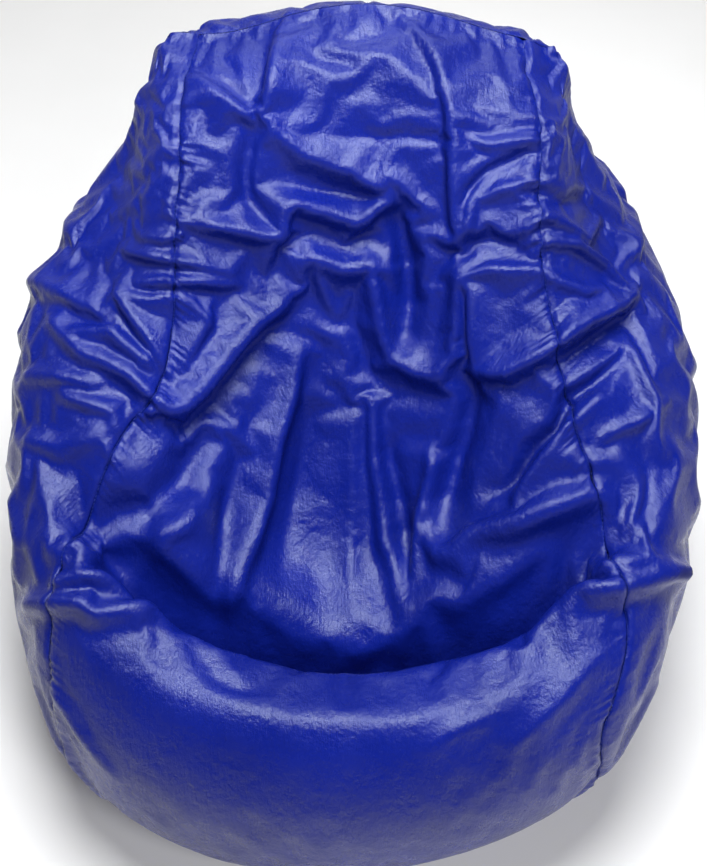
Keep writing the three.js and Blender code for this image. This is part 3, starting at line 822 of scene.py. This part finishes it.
def puckers(along):
    """Gathers in the cloth along a seam, uneven in spacing and size, from -1 to 1."""
    beat = 2 * math.pi * along / PUCKER_SPACING
    uneven = beat + 1.9 * np.sin(beat * .23) + 1.2 * np.sin(beat * .41 + 1)
    size = .35 + .65 * (.5 + .5 * np.sin(beat * .13 + 2)) * (.5 + .5 * np.sin(beat * .071))
    return np.sin(uneven) * size


def sewn_edge(sheet, edge, has_puckers):
    """How far the sheet rises beside one of its sewn edges, which is its first or last column."""
    ordered = sheet if edge == 0 else sheet[:, ::-1]
    steps = np.linalg.norm(np.diff(ordered, axis=1), axis=-1)
    away = np.concatenate([np.zeros((len(sheet), 1)), np.cumsum(steps, axis=1)], axis=1)
    along = arc_lengths(ordered[:, 0])[:, None]
    rise = -GROOVE_DEPTH * bell(away, GROOVE_REACH)
    if has_puckers:
        fading = np.exp(-away / PUCKER_REACH) * (1 - bell(away, PUCKER_START))
        rise = rise + PUCKER_HEIGHT * puckers(along) * fading
    return rise if edge == 0 else rise[:, ::-1]


def zip_opening(rows):
    """1 at the rows where the zip parts the rear panels, 0 past its ends."""
    start, end = ZIP_ROWS
    return ramp(rows - start + .1, .12) * ramp(end + .1 - rows, .12)


def with_hems(sheet, normals):
    """The sheet with its two side edges turned in, as seam allowance."""
    def turned(line, normal, inwards):
        inwards = inwards / (np.linalg.norm(inwards, axis=-1, keepdims=True) + 1e-9)
        bend = line - normal * HEM_DEPTH * HEM_BEND + inwards * HEM_TURN[0]
        end = line - normal * HEM_DEPTH + inwards * HEM_TURN[1]
        return bend, end

    first = turned(sheet[:, 0], normals[:, 0], sheet[:, 1] - sheet[:, 0])
    last = turned(sheet[:, -1], normals[:, -1], sheet[:, -2] - sheet[:, -1])
    return np.concatenate([
        np.stack([first[1], first[0]], 1), sheet, np.stack([last[0], last[1]], 1),
    ], axis=1)


def cover_panel(name, first, last):
    """A panel between two seams: grooved and gathered along them, hemmed, and parted at the zip."""
    sheet = doubled(bag_points[:, columns_between(first, last)].swapaxes(0, 1)).swapaxes(0, 1)
    rows = GRID_ROWS
    if name == "front_panel":
        sheet = doubled(sheet)
        rows = doubled(GRID_ROWS[:, None])[:, 0]
    normals = open_normals(sheet)
    rise = np.zeros(sheet.shape[:2])
    for edge, column in ((0, first), (-1, last)):
        at_centre = column % COLUMNS == 4
        share = 1 - zip_opening(rows) if at_centre else 1
        rise += sewn_edge(sheet, edge, not at_centre) * np.broadcast_to(share, len(rows))[:, None]
        if at_centre:
            shift = ZIP_GAP / 2 * zip_opening(rows)[:, None]
            beside = bell(np.abs(sheet[..., 0]), 3 * ZIP_GAP)
            sheet[..., 0] += (-shift if edge == 0 else shift) * beside
    sheet = sheet + normals * rise[..., None]
    sheet = with_hems(sheet, open_normals(sheet))
    faces = grid_quads(*sheet.shape[:2])
    panel = add_piece("cover_" + name, sheet.reshape(-1, 3), faces, VINYL, "vinyl", name, closed=False)
    middle = sheet.shape[1] // 2
    across = np.array([arc_lengths(line) for line in sheet])
    across = across - across[:, middle:middle + 1]
    along = arc_lengths(sheet[:, middle])[:, None]
    name_places(panel, np.stack(np.broadcast_arrays(across, along), -1))
    return panel


for name, (first, last, width, length, area) in PANELS.items():
    panel = cover_panel(name, first, last)


# ---- Base panel ----
BASE_RINGS = 24
BASE_LIFT = 1 * MM
BASE_DENT = 1.5 * MM
BASE_EDGE_LIFT = 1.2 * MM


def base_panel():
    """The flat panel under the bag: it rests on the floor and rises a little in shallow dents."""
    ring = bag_points[0]
    spread = np.linspace(1, 0, BASE_RINGS)[:, None, None]
    middle = ring.mean(0)
    sheet = middle + (ring - middle) * spread
    x, y = sheet[..., 0], sheet[..., 1]
    dents = np.maximum(np.sin(x * 37 + 2 * np.sin(y * 23)) * np.sin(y * 31 + 1), 0)
    edge = np.clip(spread[..., 0] * 3 - 2, 0, 1)
    sheet[..., 2] = BASE_LIFT + BASE_DENT * dents * (1 - edge) + BASE_EDGE_LIFT * edge
    vertices = sheet.reshape(-1, 3)
    faces = grid_quads(BASE_RINGS, len(ring), closed=True)
    base = add_piece("cover_base_panel", vertices, faces, VINYL, "vinyl", "base_panel", closed=False)
    name_places(base, vertices[:, :2])


base_panel()


# ---- Liner and bead filling ----
LINER_DEPTH = 9 * MM
FILLING_DEPTH = 13 * MM
INNER_REACH = 5             # grid steps over which the inner bags keep clear of a hollow in the cover
INNER_TOP_ROW = 10.45
INNER_STEPS = (3, 4)        # the inner bags use every third row and every fourth column of the grid
INNER_LIFT = .6             # share of their depth by which they lie above the floor
ZIP_GROOVE = 8 * MM
ZIP_GROOVE_REACH = 30 * MM
REAR_FROM = .2              # metres behind the middle


def lowest_near(height, reach):
    """The least height among the points up to reach steps away along the rows and the columns."""
    for _ in range(reach):
        height = np.minimum(height, np.minimum(np.roll(height, 1, 1), np.roll(height, -1, 1)))
        height = np.minimum(height, np.concatenate([height[:1], height[:-1]]))
        height = np.minimum(height, np.concatenate([height[1:], height[-1:]]))
    return height


def inner_bag(name, depth, material, slot, replaced):
    """A closed bag inside the cover that keeps a distance below the cover's hollows."""
    skin = smooth_skin(seams_bent(COLUMN_AT, ROW_AT), ROW_AT)
    outwards = normals_of(skin)
    height = lowest_near(((bag_points - skin) * outwards).sum(-1), INNER_REACH)
    for _ in range(INNER_REACH):
        height = softened(height)
    groove = ZIP_GROOVE * bell(skin[..., 0], ZIP_GROOVE_REACH) * (skin[..., 1] > REAR_FROM)
    shape = skin + outwards * (height - depth - groove)[..., None]
    shape = shape[GRID_ROWS <= INNER_TOP_ROW][::INNER_STEPS[0], ::INNER_STEPS[1]]
    shape[..., 2] = np.maximum(shape[..., 2], depth * INNER_LIFT)
    rows, columns = shape.shape[:2]
    vertices = [*shape.reshape(-1, 3), shape[0].mean(0), shape[-1].mean(0)]
    faces = grid_quads(rows, columns, closed=True).tolist()
    bottom, top = len(vertices) - 2, len(vertices) - 1
    last = (rows - 1) * columns
    for column in range(columns):
        after = (column + 1) % columns
        faces.append([after, column, bottom])
        faces.append([last + column, last + after, top])
    bag = add_piece(name, vertices, faces, material, slot, replaced)


inner_bag("liner_bag", LINER_DEPTH, LINER_CLOTH, "liner_cloth", "inner_liner")
inner_bag("bead_filling", FILLING_DEPTH, BEADS, "beads", "bead_fill")


# ---- Stitches ----
STITCH_PITCH = 5 * MM
STITCH_LENGTH = 3.8 * MM
THREAD_RADIUS = .5 * MM
STITCH_SIDES = 6
# Rings along one stitch, whose ends dive into the cloth: (share of its length from its middle, height and
# radius as shares of the thread's radius).
STITCH_RINGS = [
    (-.5, -1.2, .35),
    (-.3, -.1, .9),
    (0, .2, 1),
    (.3, -.1, .9),
    (.5, -1.2, .35),
]


def stitches(line, normals, lift):
    """Vertices and faces of short thread stitches that follow a line of points."""
    lengths = arc_lengths(line)
    count = int(lengths[-1] / STITCH_PITCH)
    along, heights, radii = np.array(STITCH_RINGS).T
    angles = 2 * math.pi * np.arange(STITCH_SIDES) / STITCH_SIDES
    vertices, faces = [], []
    for number in range(count):
        centre_at = (number + .5) * STITCH_PITCH
        spots = centre_at + STITCH_LENGTH * along
        middle = np.stack([np.interp(spots, lengths, line[:, axis]) for axis in range(3)], -1)
        up = np.array([np.interp(centre_at, lengths, normals[:, axis]) for axis in range(3)])
        up = up / np.linalg.norm(up)
        ahead = middle[-1] - middle[0]
        aside = np.cross(ahead, up)
        aside = aside / np.linalg.norm(aside)
        faces += tube_faces(len(vertices), len(STITCH_RINGS), STITCH_SIDES)
        for spot, height, radius in zip(middle, heights, radii):
            heart = spot + up * (lift + height * THREAD_RADIUS)
            for angle in angles:
                round_it = aside * math.cos(angle) + up * math.sin(angle)
                vertices.append(heart + round_it * THREAD_RADIUS * radius)
    return vertices, faces


def seam_line(column, first_row, last_row):
    """The seam's points and normals on the final bag."""
    rows = (GRID_ROWS >= first_row) & (GRID_ROWS <= last_row)
    index = grid_index(column % COLUMNS)
    return bag_points[rows, index], normals_of(bag_points)[rows, index]


def seam_stitches(name, line, normals, replaced, lift=-GROOVE_DEPTH * .75):
    add_piece(name, *stitches(line, normals, lift), THREAD, "thread", replaced)


for name, column, first_row, last_row in (
    ("front_seam_thread_right", 1, 0, TOP_ROW),
    ("front_seam_thread_left", -1, 0, TOP_ROW),
    ("rear_seam_thread_right", 3, 0, TOP_ROW),
    ("rear_seam_thread_left", -3, 0, TOP_ROW),
    ("centre_seam_thread_lower", 4, 0, ZIP_ROWS[0] - .2),
    ("centre_seam_thread_upper", 4, ZIP_ROWS[1] + .2, TOP_ROW),
):
    seam_stitches("stitched_" + name, *seam_line(column, first_row, last_row), name)


def top_seam():
    """Stitches a little behind the front panel's top edge."""
    edge = bag_points[-1, columns_between(-1, 1)]
    up = np.tile((0, 0, 1.0), (len(edge), 1))
    line = edge + np.array((0, TOP_ALLOWANCE, 0))
    seam_stitches("stitched_top_seam_thread", line, up, "top_seam_thread", 0)


def base_seam():
    """Stitches round the wall just above the floor."""
    ring = bag_points[1]
    ring = np.concatenate([ring, ring[:1]])
    out = np.cross(np.gradient(ring, axis=0), (0, 0, 1.0))
    out = out / np.linalg.norm(out, axis=1, keepdims=True)
    seam_stitches("stitched_base_seam_thread", ring, out, "base_seam_thread", .3 * MM)


top_seam()
base_seam()

# ---- Zips ----
ZIP_CENTRE = (REAR_FOOT + REAR_HEAD) / 2
ZIP_UP = (REAR_HEAD - REAR_FOOT) / np.linalg.norm(REAR_HEAD - REAR_FOOT)
ZIP_OUT = np.cross(ZIP_UP, (1, 0, 0))
ZIP_ACROSS = np.array((1.0, 0, 0))
CHAIN_LENGTH = 380 * MM
TOOTH_PITCH = 2.5 * MM
TEETH_DEPTH = 2 * MM
TAPE_DEPTH = 3.2 * MM
INNER_ZIP_DEPTH = 6.7 * MM
# Rings along one tooth: (reach across in mm from its root, size as a share of the full one).
TOOTH_RINGS = [(-.55, .7), (-.2, 1), (1.5, 1), (2.3, 1), (2.6, .7)]
TOOTH_SIDES = 8
TOOTH_HALF_DEPTH = 1.1 * MM
TOOTH_HALF_HEIGHT = .62 * MM
# The tape's section: (across, outwards) in mm, from the bead beside the teeth to the outer edge and back.
TAPE_OUTLINE = [
    (2.9, 0), (3.2, .55), (4.0, .6), (4.6, .3), (9, .3), (15.4, .25), (15.4, -.25), (9, -.3), (2.9, -.3),
]
TAPE_PAST_CHAIN = 6 * MM
TAPE_SECTIONS = 160
TAPE_RIPPLE = .04 * MM


def on_zip(points, depth):
    """Points given as (across, outwards, up the zip) in metres, in the row frame."""
    points = np.asarray(points, float)
    across, out, up = points[..., 0:1], points[..., 1:2], points[..., 2:3]
    return ZIP_CENTRE + across * ZIP_ACROSS + (out - depth) * ZIP_OUT + up * ZIP_UP


def zip_teeth(prefix, depth, side, sign):
    """One row of moulded teeth: short eight-sided bars that reach between those of the other row."""
    count = int(CHAIN_LENGTH / TOOTH_PITCH)
    angles = 2 * math.pi * (np.arange(TOOTH_SIDES) + .5) / TOOTH_SIDES
    first_step = .25 if sign > 0 else .75
    vertices, faces = [], []
    for number in range(count):
        height = -CHAIN_LENGTH / 2 + (number + first_step) * TOOTH_PITCH
        faces += tube_faces(len(vertices), len(TOOTH_RINGS), TOOTH_SIDES)
        for reach, size in TOOTH_RINGS:
            for angle in angles:
                out = TOOTH_HALF_DEPTH * math.sin(angle) * size
                up = TOOTH_HALF_HEIGHT * math.cos(angle) * size
                vertices.append((sign * reach * MM, out, height + up))
    placed = on_zip(vertices, depth + TEETH_DEPTH)
    add_piece(
        f"{prefix}_zip_coil_{side}", placed, faces, ZIP_PLASTIC, "zip_teeth", f"{prefix}_zip_teeth_{side}",
    )


def zip_tape(prefix, depth, side, sign):
    """A woven tape with a rounded bead along the teeth."""
    half_length = CHAIN_LENGTH / 2 + TAPE_PAST_CHAIN
    grid = np.array([
        [(sign * x * MM, y * MM + TAPE_RIPPLE * math.sin(z * 180), z) for x, y in TAPE_OUTLINE]
        for z in np.linspace(-half_length, half_length, TAPE_SECTIONS)
    ])
    placed = on_zip(grid.reshape(-1, 3), depth + TAPE_DEPTH)
    faces = grid_quads(*grid.shape[:2], closed=True)
    tape = add_piece(
        f"{prefix}_zip_woven_tape_{side}", placed, faces, ZIP_TAPE, "zip_tape", f"{prefix}_zip_tape_{side}",
    )


# The slider in mm: heights of its sections, half widths there, and how far out its parts lie.
SLIDER_HEIGHTS = (-8, -7.2, -3, 2, 6.2, 8)
PLATE_HALF_WIDTHS = (2.8, 3.3, 3.6, 4.0, 4.1, 3.2)
LUG_HALF_WIDTHS = (.9, 1.1, 1.2, 1.2, 1.1, .9)
FRONT_PLATE = (1.5, 2.3)
REAR_PLATE = (-2.35, -1.6)
LUG = (2.2, 3.2)
FLANGE = (-.45, 1.55)
FLANGE_THICKNESS = .55
# A plate's section with a softened rim: (share of its half width, share of its thickness).
PLATE_SECTION = [(-1, .25), (-.85, 0), (.85, 0), (1, .25), (1, .75), (.85, 1), (-.85, 1), (-1, .75)]


def slider_plate(half_widths, inner, outer):
    """Rings of one slider plate, which is wider at its shoulders."""
    return [
        [(x * half, inner + (outer - inner) * y, up) for x, y in PLATE_SECTION]
        for up, half in zip(SLIDER_HEIGHTS, half_widths)
    ]


def slider_flange(sign):
    """Rings of the flange down one side, between the plates' ends."""
    section = [(x, y) for y, xs in zip(FLANGE, ((-FLANGE_THICKNESS, 0), (0, -FLANGE_THICKNESS))) for x in xs]
    middle = list(zip(SLIDER_HEIGHTS, PLATE_HALF_WIDTHS))[1:-1]
    return [[(sign * (half + x), y, up) for x, y in section] for up, half in middle]


def zip_slider(prefix, depth):
    """Two plates, flanges down both sides and a low lug on the front."""
    vertices, faces = [], []
    for rings in (
        slider_plate(PLATE_HALF_WIDTHS, *FRONT_PLATE),
        slider_plate(PLATE_HALF_WIDTHS, *REAR_PLATE),
        slider_plate(LUG_HALF_WIDTHS, *LUG),
        slider_flange(-1),
        slider_flange(1),
    ):
        faces += tube_faces(len(vertices), len(rings), len(rings[0]))
        vertices += [corner for ring in rings for corner in ring]
    closed_at = CHAIN_LENGTH / 2 - SLIDER_HEIGHTS[-1] * MM
    placed = on_zip(np.array(vertices) * MM + np.array((0, 0, closed_at)), depth + TEETH_DEPTH)
    slider = add_piece(
        f"{prefix}_zip_slider_body", placed, faces, ZIP_METAL, "zip_metal", f"{prefix}_zip_slider",
        f"{prefix}_slider", smooth_shaded=False,
    )
    bevel = slider.modifiers.new("soft_edges", "BEVEL")
    bevel.width = .15 * MM
    bevel.segments = 2


for prefix, depth in (("outer", 0), ("inner", INNER_ZIP_DEPTH)):
    for side, sign in (("left", -1), ("right", 1)):
        zip_teeth(prefix, depth, side, sign)
        zip_tape(prefix, depth, side, sign)
    zip_slider(prefix, depth)
    for end in ("top", "bottom"):
        node = frame["nodes"][f"{prefix}_zip_{end}_stop"]
        node.data.materials.clear()
        node.data.materials.append(ZIP_METAL)

TOPSTITCHING_FROM_CENTRE = 9 * MM
TOPSTITCHING_POINTS = 80

for side, sign in (("left", -1), ("right", 1)):
    row = [
        (sign * TOPSTITCHING_FROM_CENTRE, 0, height)
        for height in np.linspace(-CHAIN_LENGTH / 2, CHAIN_LENGTH / 2, TOPSTITCHING_POINTS)
    ]
    outwards = np.tile(ZIP_OUT, (TOPSTITCHING_POINTS, 1))
    seam_stitches(f"topstitching_{side}", on_zip(row, 0), outwards, f"outer_zip_stitching_{side}", .1 * MM)


# ---- Care label ----
LABEL_COLUMNS = (4.93, 4.80)
LABEL_ROWS = (1.55, 2.02)
LABEL_POINTS = (12, 16)     # across and along
LABEL_LIFT = 2 * MM
LABEL_CURL = 2.5 * MM


def care_label():
    """A blank woven tag sewn beside the left rear seam; it follows the cover and curls at its free end."""
    across, along = LABEL_POINTS
    normals = normals_of(bag_points)
    grid = np.zeros((along, across, 3))
    for i, row in enumerate(np.linspace(*LABEL_ROWS, along)):
        lift = LABEL_LIFT + LABEL_CURL * ((along - 1 - i) / along) ** 2
        at_row = round(np.interp(row, GRID_ROWS, np.arange(len(GRID_ROWS))))
        for j, column in enumerate(np.linspace(*LABEL_COLUMNS, across)):
            at_column = round(np.interp(column, GRID_COLUMNS, np.arange(len(GRID_COLUMNS))))
            grid[i, j] = bag_points[at_row, at_column] + normals[at_row, at_column] * lift
    faces = grid_quads(along, across)
    vertices = grid.reshape(-1, 3)
    label = add_piece(
        "blank_care_label", vertices, faces, LABEL_CLOTH, "label_cloth", "care_label", closed=False,
    )
    thickness = label.modifiers.new("thickness", "SOLIDIFY")
    thickness.thickness = .6 * MM
    smoother = label.modifiers.new("smoother", "SUBSURF")
    smoother.levels = smoother.render_levels = 2


care_label()

# ---- Camera, lights and floor ----
CAMERA_AZIMUTH = math.radians(2.5)
CAMERA_ELEVATION = math.radians(50)
CAMERA_DISTANCE = 1.98
CAMERA_TARGET = Vector((0, .004, .362))


def direction(azimuth, elevation):
    """From the object towards a place that far round it and up."""
    level = math.cos(elevation)
    return Vector((math.sin(azimuth) * level, -math.cos(azimuth) * level, math.sin(elevation)))


def aim(thing, target):
    thing.rotation_euler = (target - thing.location).to_track_quat("-Z", "Y").to_euler()


def camera():
    data = bpy.data.cameras.new("camera")
    data.lens = 60
    data.sensor_width = 36
    viewer = bpy.data.objects.new("camera", data)
    viewer.location = CAMERA_TARGET + direction(CAMERA_AZIMUTH, CAMERA_ELEVATION) * CAMERA_DISTANCE
    aim(viewer, CAMERA_TARGET)
    bpy.context.scene.collection.objects.link(viewer)
    bpy.context.scene.camera = viewer


LIGHT_COLOR = (.84, .93, 1)


def area_light(name, azimuth, elevation, distance, size, power, seen_in_gloss=True):
    data = bpy.data.lights.new(name, "AREA")
    data.shape = "DISK"
    data.size = size
    data.energy = power
    data.color = LIGHT_COLOR
    light = bpy.data.objects.new(name, data)
    light.location = CAMERA_TARGET + direction(math.radians(azimuth), math.radians(elevation)) * distance
    aim(light, CAMERA_TARGET)
    light.visible_glossy = seen_in_gloss
    bpy.context.scene.collection.objects.link(light)


FLOOR_RADIUS = 2.8
FLOOR_SIDES = 96


def floor():
    """A round sheet of white paper on the ground."""
    mesh = bpy.data.meshes.new("floor")
    turns = [2 * math.pi * step / FLOOR_SIDES for step in range(FLOOR_SIDES)]
    rim = [(FLOOR_RADIUS * math.cos(turn), FLOOR_RADIUS * math.sin(turn), 0) for turn in turns]
    mesh.from_pydata(rim, [], [range(FLOOR_SIDES)])
    ground = bpy.data.objects.new("floor", mesh)
    bpy.context.scene.collection.objects.link(ground)
    look = Look("floor", .7)
    look.color(look.noise(3, 3), (.93, .84, .78), (.96, .87, .81))
    look.bump(look.noise(250, 3), .2 * MM, .2)
    mesh.materials.append(look.material)


def world():
    """Dim overhead and pale at the horizon, like the paper sweep of a studio."""
    sky = bpy.data.worlds.new("studio")
    sky.use_nodes = True
    nodes, links = sky.node_tree.nodes, sky.node_tree.links
    place = nodes.new("ShaderNodeTexCoord")
    parts = nodes.new("ShaderNodeSeparateXYZ")
    fade = nodes.new("ShaderNodeMapRange")
    fade.inputs["From Min"].default_value = .05
    fade.inputs["From Max"].default_value = .4
    fade.inputs["To Min"].default_value = .5
    fade.inputs["To Max"].default_value = .02
    links.new(place.outputs["Generated"], parts.inputs["Vector"])
    links.new(parts.outputs["Z"], fade.inputs["Value"])
    links.new(fade.outputs["Result"], nodes["Background"].inputs["Strength"])
    nodes["Background"].inputs["Color"].default_value = (1, 1, 1, 1)
    bpy.context.scene.world = sky


camera()
area_light("top_softbox", 10, 92, 2.2, 1.4, 94)
area_light("front_softbox", 24, 42, 2.8, 1.0, 45, seen_in_gloss=False)
area_light("rear_softbox", 180, 40, 3.4, 1.6, 26)
floor()
world()
bpy.context.scene.view_settings.view_transform = "Standard"
